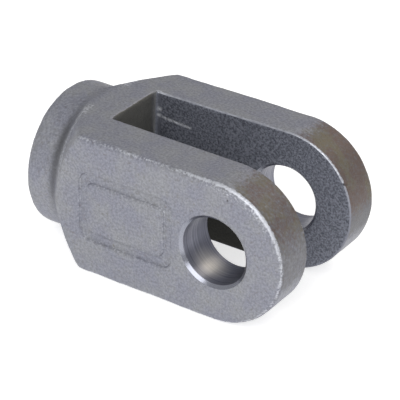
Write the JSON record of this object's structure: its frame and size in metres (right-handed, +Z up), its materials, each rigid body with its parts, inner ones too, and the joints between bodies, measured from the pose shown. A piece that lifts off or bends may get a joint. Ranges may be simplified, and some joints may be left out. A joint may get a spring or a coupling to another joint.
{
  "type": "clevis rod end",
  "caption": "Forged fork fitting with flat round-tipped ears, a cross pin hole, a deep slot, a conical shoulder and a short round hub bored for a threaded rod.",
  "frame": {"origin": "middle of the pin hole's axis, midway between the ears", "axes": "+X out of the fork tips and -X along the rod, Y along the pin, +Z up across the ears' height"},
  "size_m": [0.0615, 0.035, 0.03],
  "materials": {
    "forged_steel": "blasted forging skin, with the pin hole and its chamfers machined bright"
  },
  "bodies": {
    "root": {"clevis_rod_end": "forged_steel"}
  },
  "joints": []
}
